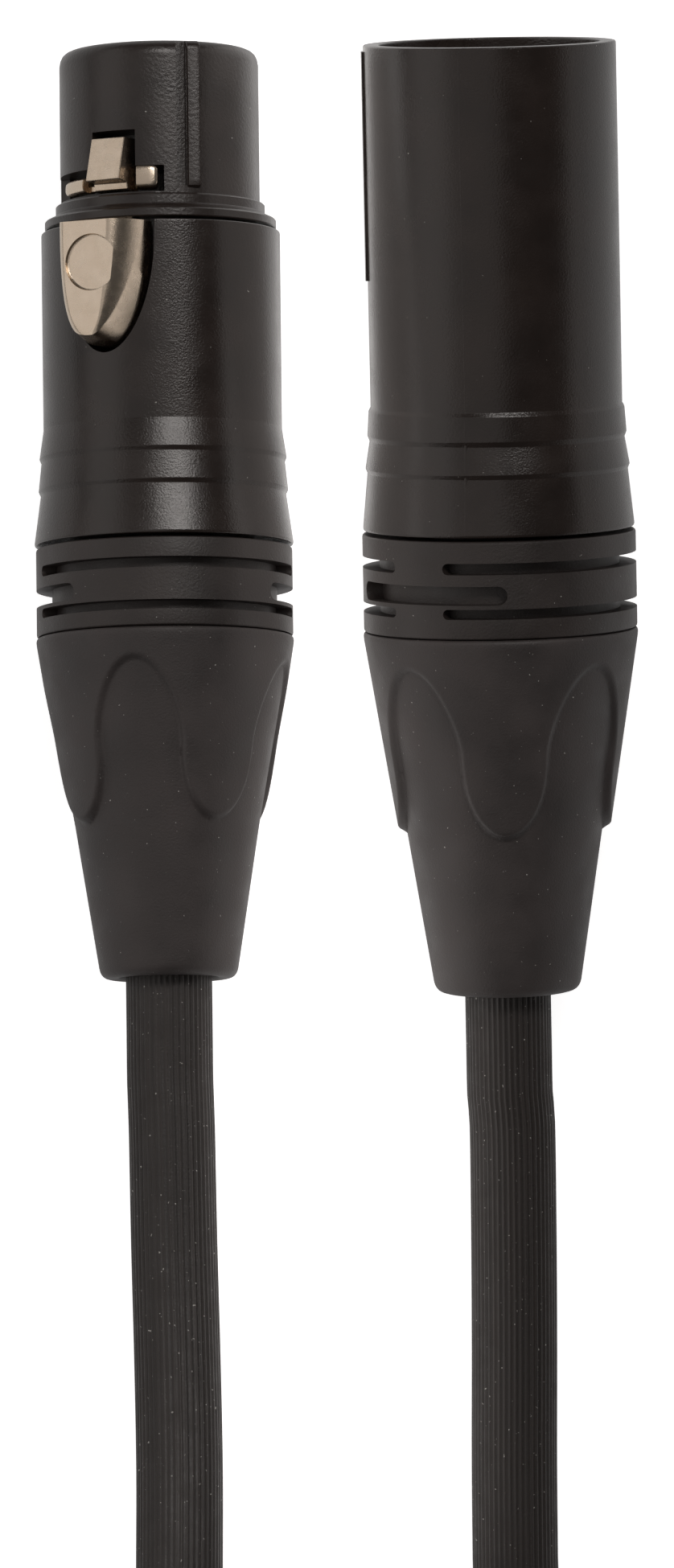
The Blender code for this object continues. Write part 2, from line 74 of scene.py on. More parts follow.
# %% New objects and new nodes
def placed(name, data):
    thing = bpy.data.objects.new(name, data)
    bpy.context.scene.collection.objects.link(thing)
    return thing


def add_node(tree, kind, inputs, **settings):
    """A node with its settings. inputs pairs a socket's name or number with a value or output."""
    node = tree.nodes.new(kind)
    for key, value in settings.items():
        setattr(node, key, value)
    for socket, value in inputs.items():
        if isinstance(value, bpy.types.NodeSocket):
            tree.links.new(value, node.inputs[socket])
        else:
            node.inputs[socket].default_value = value
    return node


print("two helpers ready")

# %% [markdown]
# ## Camera
#
# The lead lies on a table and is seen from straight above, so the camera looks down and its top
# edge points along +Y. A long lens from about a metre keeps the two connectors almost without
# perspective. The sensor's width goes with the longer side of the picture.

# %% Camera
CAMERA_PLACE = (-0.00001, -0.0208, 0.967)
CAMERA_LENS = 286.2

camera_data = bpy.data.cameras.new("overhead_camera")
camera_data.sensor_width = 36
camera_data.lens = CAMERA_LENS
camera_data.clip_start = 0.05
camera_data.clip_end = 60
camera = placed("overhead_camera", camera_data)
camera.location = CAMERA_PLACE
bpy.context.scene.camera = camera
bpy.context.scene.view_settings.view_transform = "Standard"
print("camera looks down from", CAMERA_PLACE[2], "m")

# %% [markdown]
# ## Table and light
#
# Black plastic shows what it mirrors more than its own colour, so the lamps are large soft
# panels. A small bright one past the mating ends gives the patch on the step rings, a wide dim
# one lies over the left side, one hangs high above, and a low one on the right lights the far
# edge. Two little panels stand back to back between the connectors, so that neither connector
# darkens the other's inner side. The table glows like a light table, but more to the camera
# than to anything that mirrors it, so it is white and still leaves the black plastic black.


# %% Table and light
LAMP_COLOUR = (1.0, 0.955, 0.925)
GAP = (-0.0013, -0.025, 0.011)
TABLE_HALF = 9
TABLE_DROP = 0.00005


def softbox(name, place, size, radiance, aim=(0, 0, 0.01)):
    """A rectangular lamp that faces its aim. Its power follows from how bright its face looks."""
    lamp = bpy.data.lights.new(name, "AREA")
    lamp.shape = "RECTANGLE"
    lamp.size, lamp.size_y = size
    lamp.energy = radiance * math.pi * size[0] * size[1]
    lamp.color = LAMP_COLOUR
    thing = placed(name, lamp)
    thing.location = place
    thing.rotation_euler = (Vector(aim) - Vector(place)).to_track_quat("-Z", "Y").to_euler()
    thing.visible_camera = False


def brighter_to_camera(tree, low, high, socket):
    """Gives a socket the high value for rays from the camera and the low one for all others."""
    seen = tree.nodes.new("ShaderNodeLightPath").outputs["Is Camera Ray"]
    level = add_node(tree, "ShaderNodeMapRange", {"Value": seen, "To Min": low, "To Max": high})
    tree.links.new(level.outputs["Result"], socket)


softbox("key_light", (0.16, 0.46, 0.80), (0.50, 0.24), 8.0)
softbox("left_light", (-1.22, 0.25, 0.68), (2.8, 0.95), 0.75, (0, 0.25, 0.01))
softbox("upper_light", (-0.50, 0.0, 1.52), (1.6, 1.6), 0.38)
softbox("right_light", (1.30, 0.0, 0.24), (2.0, 0.36), 0.62)
for name, side in (("gap_left", -1.0), ("gap_right", 1.0)):
    softbox(name, GAP, (0.14, 0.022), 0.6, (side, GAP[1], GAP[2]))

world = bpy.data.worlds.new("studio")
bpy.context.scene.world = world
world.use_nodes = True
backdrop = world.node_tree.nodes["Background"]
backdrop.inputs["Color"].default_value = (1.0, 0.99, 0.98, 1.0)
brighter_to_camera(world.node_tree, 0.06, 1.0, backdrop.inputs["Strength"])

table_mesh = bpy.data.meshes.new("table")
signs = ((-1, -1), (1, -1), (1, 1), (-1, 1))
corners = [(x * TABLE_HALF, y * TABLE_HALF, -TABLE_DROP) for x, y in signs]
table_mesh.from_pydata(corners, [], [(0, 1, 2, 3)])
table = placed("table", table_mesh)
table_look = bpy.data.materials.new("pale_table")
table_look.use_nodes = True
table_shader = table_look.node_tree.nodes["Principled BSDF"]
table_shader.inputs["Roughness"].default_value = 0.9
table_shader.inputs["Specular IOR Level"].default_value = 0.0
table_shader.inputs["Emission Color"].default_value = (1, 1, 1, 1)
brighter_to_camera(table_look.node_tree, 0.50, 0.80, table_shader.inputs["Base Color"])
brighter_to_camera(table_look.node_tree, 0.42, 0.80, table_shader.inputs["Emission Strength"])
table_mesh.materials.append(table_look)
table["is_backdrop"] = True
print("table and six lamps")

# %% [markdown]
# ## Finishes
#
# Every finish is a small node tree read in object coordinates, so it stays put when the piece
# is exported. Moulded plastic is never one flat black: its colour drifts a little, its gloss is
# patchy, its tool texture makes a fine grain, and pale flecks of dust sit on it. One function
# gives all the moulded finishes, and only its numbers differ.


def new_look(name):
    """A new material named after the given name, its node tree, its shader, and object coordinates."""
    look = bpy.data.materials.new(f"{name}_finish")
    look.use_nodes = True
    tree = look.node_tree
    shader = tree.nodes["Principled BSDF"]
    coords = tree.nodes.new("ShaderNodeTexCoord")
    return look, tree, shader, coords.outputs["Object"]


def noise(tree, coords, scale, detail, low=0.3, high=0.7, to_low=0.0, to_high=1.0, stretch=None):
    """A noise with its middle range spread over the wanted values."""
    source = coords
    if stretch:
        source = add_node(tree, "ShaderNodeMapping", {"Vector": coords, "Scale": stretch}).outputs[0]
    texture = add_node(tree, "ShaderNodeTexNoise", {"Vector": source, "Scale": scale, "Detail": detail})
    spread = add_node(tree, "ShaderNodeMapRange", {
        "Value": texture.outputs["Fac"],
        "From Min": low, "From Max": high, "To Min": to_low, "To Max": to_high})
    return spread.outputs["Result"]


def mix_colours(tree, factor, first, second):
    """A colour between two, each a tuple or another node's output."""
    first, second = [(*c, 1.0) if isinstance(c, tuple) else c for c in (first, second)]
    mixer = add_node(tree, "ShaderNodeMix", {"Factor": factor, 6: first, 7: second}, data_type="RGBA")
    return mixer.outputs[2]


def bump(tree, shader, height, metres):
    """Fine relief: height runs from 0 to 1, and metres is how deep that is on the real piece."""
    node = add_node(tree, "ShaderNodeBump", {"Strength": 1.0, "Distance": metres, "Height": height})
    tree.links.new(node.outputs["Normal"], shader.inputs["Normal"])


DUST = (0.34, 0.33, 0.31)


def moulded(name, colour, gloss, grain, grain_height, drift=0.25, fleck=0.80, fleck_scale=2600):
    """gloss is the lowest and highest roughness, and grain the scale of the tool's texture, per
    metre. drift is how far the colour varies. Dust shows where a noise is over fleck.
    """
    look, tree, shader, coords = new_look(name)
    dark = tuple(c * (1 - drift) for c in colour)
    light = tuple(c * (1 + drift) for c in colour)
    base = mix_colours(tree, noise(tree, coords, 210, 4.0), dark, light)
    flecks = noise(tree, coords, fleck_scale, 1.0, fleck, fleck + 0.04)
    base = mix_colours(tree, flecks, base, DUST)
    tree.links.new(base, shader.inputs["Base Color"])
    rough = noise(tree, coords, 420, 5.0, 0.3, 0.7, *gloss)
    tree.links.new(rough, shader.inputs["Roughness"])
    bump(tree, shader, noise(tree, coords, grain, 3.0), grain_height)
    return look


satin_black = moulded("satin_black", (0.0190, 0.0130, 0.0108), (0.21, 0.29), 6800, 8e-6,
                      drift=0.2, fleck_scale=4200)
moulded_black = moulded("moulded_black", (0.0185, 0.0128, 0.0108), (0.27, 0.36), 4200, 9e-6)
collar_black = moulded("collar_black", (0.0245, 0.0185, 0.0168), (0.44, 0.56), 5200, 10e-6,
                       fleck=0.78, fleck_scale=4200)
boot_rubber = moulded("boot_rubber", (0.0375, 0.0308, 0.0298), (0.50, 0.64), 6500, 12e-6,
                      fleck=0.77, fleck_scale=4200)
inner_plastic = moulded("inner_plastic", (0.016, 0.015, 0.014), (0.36, 0.48), 4200, 8e-6)
chuck_white = moulded("chuck_white", (0.60, 0.59, 0.55), (0.40, 0.52), 4200, 8e-6, 0.05, 0.95)
print("six moulded finishes")


# %% [markdown]
# The latch is cast metal with a nickel plate: bright, warm, and a little uneven under the
# plating. One noise lets the colour drift towards tarnish, a finer one changes the gloss in
# patches, and the finest pits the surface. The contacts, the spring and the wires use the same
# tree with other numbers.


# %% A node tree for plated metal
def plated(name, colour, tarnish, gloss, pits, pit_height):
    look, tree, shader, coords = new_look(name)
    base = mix_colours(tree, noise(tree, coords, 900, 4.0), tarnish, colour)
    tree.links.new(base, shader.inputs["Base Color"])
    shader.inputs["Metallic"].default_value = 1.0
    rough = noise(tree, coords, 1500, 4.0, 0.3, 0.7, *gloss)
    tree.links.new(rough, shader.inputs["Roughness"])
    bump(tree, shader, noise(tree, coords, pits, 3.0), pit_height)
    return look


nickel = plated("nickel", (0.63, 0.53, 0.425), (0.59, 0.49, 0.385), (0.23, 0.30), 12000, 2.5e-6)
spring_steel = plated("spring_steel", (0.52, 0.51, 0.50), (0.36, 0.35, 0.34), (0.25, 0.4), 5000, 5e-6)
silver_contact = plated("silver_contact", (0.80, 0.78, 0.73), (0.66, 0.62, 0.55), (0.16, 0.3), 6000, 4e-6)
screen_wire = plated("screen_wire", (0.62, 0.36, 0.22), (0.40, 0.22, 0.14), (0.3, 0.5), 7000, 20e-6)
core_red = moulded("core_red", (0.42, 0.03, 0.02), (0.40, 0.55), 4000, 6e-6, 0.15, 0.95)
core_white = moulded("core_white", (0.68, 0.67, 0.63), (0.40, 0.55), 4000, 6e-6, 0.06, 0.95)
print("four plated metals and two core colours")


# %% [markdown]
# The cable jacket is extruded, so what marks it has is drawn out along its length. Its texture
# follows the jacket's own UV map, where U goes round the cable and V goes along it in metres.


# %% A node tree for the extruded jacket and for the strap
def extruded(name, colour, gloss):
    look, tree, shader, coords = new_look(name)
    round_it = tree.nodes.new("ShaderNodeUVMap")
    round_it.uv_map = "jacket"
    drawn = noise(tree, round_it.outputs["UV"], 60, 3.0, stretch=(1.0, 0.6, 1.0))
    dark = tuple(c * 0.72 for c in colour)
    light = tuple(c * 1.35 for c in colour)
    base = mix_colours(tree, drawn, dark, light)
    flecks = noise(tree, coords, 3600, 1.0, 0.735, 0.79)
    base = mix_colours(tree, flecks, base, DUST)
    tree.links.new(base, shader.inputs["Base Color"])
    tree.links.new(noise(tree, coords, 700, 4.0, 0.3, 0.7, *gloss), shader.inputs["Roughness"])
    bump(tree, shader, noise(tree, coords, 6000, 3.0), 9e-6)
    return look


def woven(name, colour):
    look, tree, shader, coords = new_look(name)
    fuzz = noise(tree, coords, 2400, 6.0)
    base = mix_colours(tree, fuzz, tuple(c * 0.6 for c in colour), tuple(c * 1.8 for c in colour))
    tree.links.new(base, shader.inputs["Base Color"])
    shader.inputs["Roughness"].default_value = 0.9
    shader.inputs["Sheen Weight"].default_value = 0.25
    shader.inputs["Sheen Roughness"].default_value = 0.5
    bump(tree, shader, fuzz, 120e-6)
    return look


cable_jacket = extruded("cable_jacket", (0.0190, 0.0145, 0.0128), (0.42, 0.56))
strap_black = woven("strap_black", (0.020, 0.019, 0.018))
print("jacket and strap")

# %% [markdown]
# ## Building in a connector's own directions
#
# Each connector lies a little turned and tilted on the table. It is easier to build it along
# its own axis, with "depth" counted from the mating face towards the cable and angles counted
# from the top, and to move the finished mesh into place. The mesh is moved and not the object,
# so each object stays at the origin as the measured nodes do. Sizes are in millimetres until
# that move.


# %% Directions and moves
def lying(face, turn, tilt):
    angles = Euler((math.radians(tilt), 0, math.radians(turn)))
    place = Matrix.Translation(Vector(face) * MM) @ angles.to_matrix().to_4x4()
    return place @ Matrix.Diagonal((MM, MM, MM, 1))


FEMALE = lying((-13.74, 35.43, 7.92), 0.72, -4.9)
MALE = lying((11.61, 35.84, 15.10), 1.21, 5.8)
ON_TABLE = Matrix.Diagonal((MM, MM, MM, 1))
FEMALE_SIZE = 0.966
MALE_SIZE = 1.031
LATCH_SIDE = -27.4
latch_turn = Matrix.Rotation(math.radians(LATCH_SIDE), 4, "Y")
pin_turn = Matrix.Rotation(math.radians(-90), 4, "Y")


def around(radius, angle, depth):
    """A point at an angle in degrees from the top, growing towards +X."""
    turn = math.radians(angle)
    return Vector((radius * math.sin(turn), -depth, radius * math.cos(turn)))


print("female axis", [round(c, 3) for c in (FEMALE.to_3x3() @ Vector((0, 1000, 0)))])


# %% [markdown]
# ## Helpers for clean solids
#
# Most pieces are turned on a lathe in real life, so a profile swept round an axis gives them.
# Real edges are never perfectly sharp, and it is the small radius on an edge that catches the
# light, so a helper rounds each corner of a profile before it is swept. Another helper skins
# rows of points, and a third cuts or joins solids.


# %% Profiles, skins and lathe work
def eased(corners, radius, steps=3):
    """The closed outline with each corner replaced by a small arc."""
    points = [Vector(c) for c in corners]
    out = []
    for before, corner, after in zip(points[-1:] + points[:-1], points, points[1:] + points[:1]):
        back, on = before - corner, after - corner
        turn = math.pi - back.angle(on)
        if turn < math.radians(8):
            out.append(corner)
            continue
        reach = min(radius * math.tan(turn / 2), back.length * 0.45, on.length * 0.45)
        first, last = corner + back.normalized() * reach, corner + on.normalized() * reach
        for i in range(steps + 1):
            t = i / steps
            out.append(first * (1 - t) ** 2 + corner * 2 * t * (1 - t) + last * t**2)
    return [tuple(p) for p in out]


def skin(rows, tube=False, caps=False):
    """Faces between neighbouring rings of points. A tube also joins its last ring to its first."""
    mesh = bmesh.new()
    made = [[mesh.verts.new(p) for p in row] for row in rows]
    pairs = list(zip(made, made[1:]))
    if tube:
        pairs.append((made[-1], made[0]))
    for first, second in pairs:
        count = len(first)
        for i in range(count):
            j = (i + 1) % count
            mesh.faces.new((first[i], first[j], second[j], second[i]))
    if caps:
        mesh.faces.new(made[0])
        mesh.faces.new(made[-1])
    bmesh.ops.recalc_face_normals(mesh, faces=mesh.faces)
    return mesh


def lathe(profile, sides=160, centre=(0.0, 0.0)):
    """A profile of (depth, radius) swept round the axis: a tube, or solid if it has two ends at 0."""
    offset = Vector((centre[0], 0, centre[1]))
    turns = [360 * i / sides for i in range(sides)]
    rows = [[around(r, t, d) + offset for t in turns] for d, r in profile if r > 0]
    solid = profile[0][1] == 0
    return skin(rows, tube=not solid, caps=solid)


def box(across, depths, heights):
    """A plain block, to cut with or to join to a bigger shape."""
    (left, right), (front, rear) = across, depths
    outline = [(left, -front), (right, -front), (right, -rear), (left, -rear)]
    return skin([[(x, y, z) for x, y in outline] for z in heights], caps=True)


print("lathe, skin and easing ready")


# %% Cutting, joining and finishing a piece
def as_object(name, mesh):
    data = bpy.data.meshes.new(name)
    mesh.to_mesh(data)
    mesh.free()
    return placed(name, data)


def evaluated(thing):
    """A plain mesh of what the object's modifiers make of it."""
    graph = bpy.context.evaluated_depsgraph_get()
    return bpy.data.meshes.new_from_object(thing.evaluated_get(graph))


def baked(thing):
    """The object's evaluated mesh as a bmesh. The object is removed."""
    data = evaluated(thing)
    mesh = bmesh.new()
    mesh.from_mesh(data)
    bpy.data.meshes.remove(data)
    bpy.data.objects.remove(thing)
    return mesh


def shaped(mesh, cuts=(), joins=()):
    """Joins solids to a solid, then cuts others from it."""
    base = as_object("blank", mesh)
    others = []
    for operation, tools in (("UNION", joins), ("DIFFERENCE", cuts)):
        for tool in tools:
            other = as_object("tool", tool)
            others.append(other)
            modifier = base.modifiers.new("work", "BOOLEAN")
            modifier.object = other
            modifier.operation = operation
            modifier.solver = "EXACT"
    result = baked(base)
    for other in others:
        bpy.data.objects.remove(other)
    bmesh.ops.remove_doubles(result, verts=result.verts, dist=0.0008)
    return result


def add(mesh, other):
    """Puts another closed mesh into the same piece."""
    data = bpy.data.meshes.new("part")
    other.to_mesh(data)
    other.free()
    mesh.from_mesh(data)
    bpy.data.meshes.remove(data)


def piece(name, mesh, place, look, body, stands_for, sharp=32):
    """Moves a mesh into the world, gives it its finish, shades it, hangs it on its body, and hides the
    measured parts it stands for.
    """
    mesh.transform(place)
    thing = as_object(name, mesh)
    data = thing.data
    data.materials.clear()
    data.materials.append(look)
    data.shade_smooth()
    data.set_sharp_from_angle(angle=math.radians(sharp))
    weighted = thing.modifiers.new("even_shading", "WEIGHTED_NORMAL")
    weighted.keep_sharp = True
    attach(thing, body)
    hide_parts(*stands_for)
    print(name, len(data.polygons), "faces on", body)
    return thing


# %% [markdown]
# ## The female nose
#
# The nose is the part that enters the other connector. It is a turned shape with a lip behind
# it, three bores for the contacts, and a key rib beside a groove along its upper right. A
# window lets the latch's hook out, and a notch behind it lets the latch's two wings move. The
# front edge is rounded in the profile itself, and the openings are cut after.


# %% The female nose
NOSE_RADIUS = 7.65


def ring_block(radii, depths, angles, steps=10, ends=1.0):
    """A block that follows part of a ring. ends below 1 narrows its two ends to a round."""
    middle, half = (depths[0] + depths[1]) / 2, (depths[1] - depths[0]) / 2
    arc = math.radians(1) * (radii[0] + radii[1]) / 2
    marks = [angles[0] + (angles[1] - angles[0]) * i / steps for i in range(steps + 1)]
    if ends < 1:
        close = [half / arc * (1 - math.cos(math.radians(a))) for a in (8, 25, 45, 65, 90)]
        between = [m for m in marks if angles[0] + close[-1] < m < angles[1] - close[-1]]
        marks = [angles[0] + c for c in close] + between + [angles[1] - c for c in reversed(close)]
    rows = []
    for angle in marks:
        inset = min(angle - angles[0], angles[1] - angle) * arc
        share = 1.0
        if ends < 1 and inset < half:
            share = math.sqrt(max(0.02, 1 - (1 - inset / half) ** 2))
        first, last = middle - half * share, middle + half * share
        rows.append([around(radii[0], angle, first), around(radii[1], angle, first),
                     around(radii[1], angle, last), around(radii[0], angle, last)])
    return skin(rows, caps=True)


def key_rib():
    """The raised rib: a section of angles and radii, lowered near both of its ends."""
    root = 7.0
    section = [(16.7, root), (16.7, 7.84), (17.1, 7.93), (18.5, 7.99), (20.5, 8.06), (22.6, 8.13)]
    section += [(23.6, 8.12), (24.2, 8.0), (24.5, 7.75), (24.6, root)]
    drops = [(0.11, 0.52), (0.2, 0.34), (0.36, 0.16), (0.75, 0.0), (10.9, 0.0), (11.25, 0.06), (11.4, 0.3)]
    rows = [[around(r - (drop if r > root else 0), a, depth) for a, r in section] for depth, drop in drops]
    return skin(rows, caps=True)


nose_profile = [(0, 0), (0, 6.75), (0.04, 6.98), (0.14, 7.20), (0.34, 7.42), (0.66, 7.57)]
nose_profile += [(1.1, NOSE_RADIUS), (11.80, NOSE_RADIUS), (11.88, 7.70), (11.90, 7.95), (11.98, 8.03)]
nose_profile += [(12.62, 8.03), (12.74, 8.12), (12.96, 8.60), (13.06, 8.80), (13.16, 8.88), (13.66, 8.88)]
nose_profile += [(13.75, 8.80), (13.75, 7.2), (26.0, 7.2), (26.0, 0)]
key_groove = ring_block((7.28, 9.5), (-0.8, 11.25), (10.7, 16.4), 6)
face_groove = lathe([(-0.5, 6.05), (-0.5, 6.3), (0.3, 6.3), (0.3, 6.05)], 96)
nose_cuts = [key_groove, face_groove]
for cutter in (
    box((-1.85, 1.85), (6.9, 11.7), (4.6, 10)),  # the hook's window
    box((-7.9, 3.9), (9.7, 11.7), (2.9, 10)),  # the wings' notch
    box((-6.3, 3.9), (9.7, 11.7), (2.3, 4)),  # where the wings go when the tab is pressed
    box((-1.7, 1.7), (7.2, 24.5), (4.6, 7.45)),  # the arm's channel
    box((-3.9, 3.9), (13.78, 21.0), (6.6, 10)),  # a flat under the tab
    lathe([(21.75, 0), (21.75, 0.65), (23.05, 0.65), (23.05, 0)], 24),  # a hollow in the core
):
    cutter.transform(latch_turn)
    nose_cuts.append(cutter)
CONTACT_CIRCLE = 3.96
contact_spots = [(-CONTACT_CIRCLE, 0.0), (CONTACT_CIRCLE, 0.0), (0.0, -CONTACT_CIRCLE)]
for x, z in contact_spots:
    bore = lathe([(-1, 0), (-1, 2.15), (0, 2.15), (0.35, 1.85), (27, 1.85), (27, 0)], 48,
                 (x * FEMALE_SIZE, z * FEMALE_SIZE))
    bore.transform(latch_turn)
    nose_cuts.append(bore)
nose = shaped(lathe(nose_profile, 192), nose_cuts, [key_rib()])
piece("female_nose_shaped", nose, FEMALE, moulded_black, "lead", ["female_nose"])

# %% [markdown]
# ## The female housing
#
# The sleeve behind the nose is a plain tube that ends in three rings, each flaring a little
# towards the cable. A deep window with the outline of the thumb tab is cut from its front edge,
# so the tab can be pressed into it.


# %% The female housing
def shield(half_width, front, shoulder, tip, steps=40):
    """The thumb tab's outline: straight front, straight sides and a rear of half an ellipse."""
    side = [(half_width, front + (shoulder - front) * i / 2) for i in range(2)]
    for i in range(steps):
        turn = math.pi / 2 * i / steps
        side.append((half_width * math.cos(turn), shoulder + (tip - shoulder) * math.sin(turn)))
    return side + [(0.0, tip)] + [(-x, depth) for x, depth in reversed(side)]


def prism(outline, heights):
    return skin([[(x, -d, z) for x, d in outline] for z in heights], caps=True)


housing_profile = [(14.0, 7.5), (14.0, 9.17), (29.2, 9.15), (31.4, 9.48), (31.72, 9.34), (33.9, 9.57)]
housing_profile += [(34.22, 9.41), (37.9, 9.92), (38.1, 9.90), (38.1, 7.5)]
tab_window = prism(shield(3.9, 13.0, 15.0, 24.1), (5.0, 13.0))
tab_window.transform(latch_turn)
housing = shaped(lathe(eased(housing_profile, 0.16), 192), [tab_window])
piece("female_housing_shaped", housing, FEMALE, satin_black, "lead", ["female_housing"])

# %% [markdown]
# ## The latch
#
# One cast piece: a thumb tab, an arm with a sloping hook at its end, and two wings that stop it
# in the nose's notch. The tab's flat top carries a shallow dished disc. A ridge line starts at
# each front corner of the tab and climbs to its tip, and the metal leans differently above and
# below it, which is why the bands beside it differ in brightness. The tab is skinned from
# columns: each climbs from the foot to the ridge, then bends over the shoulder to the flat.


# %% The latch
TAB_FRONT = 14.12
TAB_FOOT = 7.6
TAB_TOP = 11.3
DISC_DEPTH = 17.4
PIVOT = (22.4, 6.0)


def tab_column(share, flat_half, fullness, blunt):
    """One column of the tab's side. share runs from 0 at the front corner to 1 at the tip.

    flat_half is half the flat's width at the front, and fullness is how far out the shoulder
    stays level. blunt bends the outline: below 1 nearly to a rectangle, above 1 to a point.
    """
    turn = share * math.pi / 2
    across, along = math.cos(turn), math.sin(turn)
    foot_depth = TAB_FRONT + 9.45 * along ** min(1.0, blunt)
    foot = Vector((3.32 * across ** min(0.8, blunt), -foot_depth, TAB_FOOT))
    ridge_depth = TAB_FRONT + 8.85 * along ** (blunt * 1.04)
    ridge = Vector((3.27 * across**blunt, -ridge_depth, 8.75 + 2.52 * along**2.2))
    flat_depth = TAB_FRONT + 0.05 + 8.45 * along**blunt
    flat = Vector((flat_half * across ** min(0.9, blunt), -flat_depth, TAB_TOP))
    brow = ridge + (flat - ridge) * (1 - fullness + 0.25 * share)
    brow.z = TAB_TOP
    column = [foot, Vector((foot.x, foot.y, 8.2 + 0.9 * along**2)), ridge + (foot - ridge) * 0.05]
    for t in (0.0, 0.06, 0.2, 0.35, 0.5, 0.65, 0.8, 0.92, 1.0):
        column.append(ridge * (1 - t) ** 2 + brow * 2 * t * (1 - t) + flat * t**2)
    return column


def tab_solid(columns=44):
    """The right shoulder rolls off early. The left one stays level almost to its edge."""
    shares = [i / columns for i in range(columns + 1)]
    right = [tab_column(share, 1.25, 0.55, 1.28) for share in shares]
    left = [tab_column(share, 2.3, 0.90, 0.66) for share in shares[:-1]]
    left = [[Vector((-p.x, p.y, p.z)) for p in column] for column in reversed(left)]
    return skin(list(zip(*(right + left))), caps=True)


def bent_bar(angles, radii, depths, radius, domed, steps=14):
    """A bar bent round the axis, with rounded edges. domed says how far its first end is rounded."""
    (front, rear), (low, high) = depths, radii
    section = eased([(front, low), (rear, low), (rear, high), (front, high)], radius, 6)
    centre = Vector(((front + rear) / 2, (low + high) / 2))
    dome = ((0.0, 0.75), (0.04, 0.45), (0.12, 0.2), (0.25, 0.05), (0.4, 0.0))
    marks = [(angles[0] + (angles[1] - angles[0]) * a * 0.9, 1 - less * domed) for a, less in dome]
    last = marks[-1][0]
    marks += [(last + (angles[1] - last) * i / steps, 1.0) for i in range(1, steps)]
    marks += [(angles[1] - (angles[1] - angles[0]) * 0.01, 1.0), (angles[1], 0.9)]
    rows = []
    for angle, size in marks:
        rows.append([around(centre.y + (r - centre.y) * size, angle, centre.x + (d - centre.x) * size)
                     for d, r in section])
    return skin(rows, caps=True)


arm_side = [(7.55, 8.35), (10.9, 9.38), (11.0, 8.05), (11.5, 7.85), (11.65, 7.2), (14.3, 7.2), (14.5, 8.6)]
arm_side += [(15.6, 8.6), (15.6, 6.9), (15.0, 6.1), (8.0, 6.1), (7.5, 6.6)]
arm_outline = eased(arm_side, 0.12)
arm = skin([[(x, -d, z) for d, z in arm_outline] for x in (-1.42, 1.42)], caps=True)
arm_object = as_object("arm", arm)
arm_edges = arm_object.modifiers.new("edges", "BEVEL")
arm_edges.width = 0.10
arm_edges.segments = 2
arm_edges.limit_method = "ANGLE"
arm_edges.angle_limit = math.radians(50)
arm = baked(arm_object)
left_wing = bent_bar((-51.5, -23.0), (6.1, 7.6), (10.2, 11.42), 0.60, 1.0)
right_wing = bent_bar((27.0, 14.3), (5.8, 7.66), (9.5, 11.45), 0.55, 0.35)
wing_bar = box((-2.7, 1.9), (10.9, 11.25), (5.2, 6.15))
knuckle = box((-1.2, 1.2), (21.4, 23.2), (5.1, 7.9))
disc_turns = [2 * math.pi * i / 64 for i in range(64)]
disc_rings = ((2.04, 11.02), (2.12, 11.06), (2.20, 11.34), (2.26, 12.0))
disc_cut = skin([[(r * math.cos(t), -DISC_DEPTH - r * math.sin(t), z) for t in disc_turns]
                 for r, z in disc_rings], caps=True)
pin_turns = [2 * math.pi * i / 24 for i in range(24)]
pin_bore = skin([[(x, -PIVOT[0] - 0.68 * math.sin(t), PIVOT[1] + 0.68 * math.cos(t)) for t in pin_turns]
                 for x in (-3.0, 3.0)], caps=True)
latch = shaped(tab_solid(), [disc_cut, pin_bore], [knuckle, arm, wing_bar, left_wing, right_wing])
latch.transform(latch_turn)
piece("female_latch_shaped", latch, FEMALE, nickel, "latch", ["female_latch"], 24)

# %% [markdown]
# ## Collars
#
# The collar is a ring that slides on the boot's nut. Three rows of slots make it springy: two
# long thin rows leave a narrow bridge on each side, and a wider row between them sits across
# those bridges. All the slots have round ends, because a moulding tool has them.

# %% Collars
COLLAR_LENGTH = 7.03
COLLAR_RADIUS = 10.17
COLLAR_BORE = 7.6
COLLAR_START = {"female": 38.35, "male": 37.65}
SLOT_DEPTH = 1.25
# Each row's front, rear, first angle and last angle. The other half of the ring repeats it.
SLOT_ROWS = [(1.6, 2.45, 12.3, 167.7), (3.3, 4.7, -40.0, 40.0), (5.0, 5.75, 12.3, 167.7)]
# The male collar reaches a little further forward, and its slots with it.
SLOT_SHIFT = {"female": 0.0, "male": 0.22}


def collar(side, size, bridge_side, place):
    front_edge = COLLAR_START[side] - SLOT_SHIFT[side]
    rear_edge = COLLAR_START[side] + COLLAR_LENGTH * size
    outer, bore = COLLAR_RADIUS * size, COLLAR_BORE * size
    outline = [(front_edge, bore), (front_edge, outer), (rear_edge, outer), (rear_edge, bore)]
    cuts = []
    for front, rear, first, last in SLOT_ROWS:
        for half in (0, 180):
            cuts.append(ring_block(
                ((COLLAR_RADIUS - SLOT_DEPTH) * size, (COLLAR_RADIUS + 1) * size),
                (front_edge + front * size, front_edge + rear * size),
                (bridge_side + half + first, bridge_side + half + last), 36, 0.5))
    blank = shaped(lathe(eased(outline, 0.22), 192), cuts)
    name = f"{side}_collar"
    piece(f"{name}_shaped", blank, place, collar_black, name, [name])


collar("female", FEMALE_SIZE, -84.0, FEMALE)
collar("male", MALE_SIZE, -37.7, MALE)

# %% [markdown]
# ## Boots
#
# The boot is a rubber cone with a raised crown, which runs down in four tongues. Its outside
# follows a rule, so it is made as a fine grid round the axis: the height of the step at each
# point depends on how far the point is from the wavy edge of the crown. The distance is taken
# along the surface, so the step is equally wide on the steep sides and at the round ends.

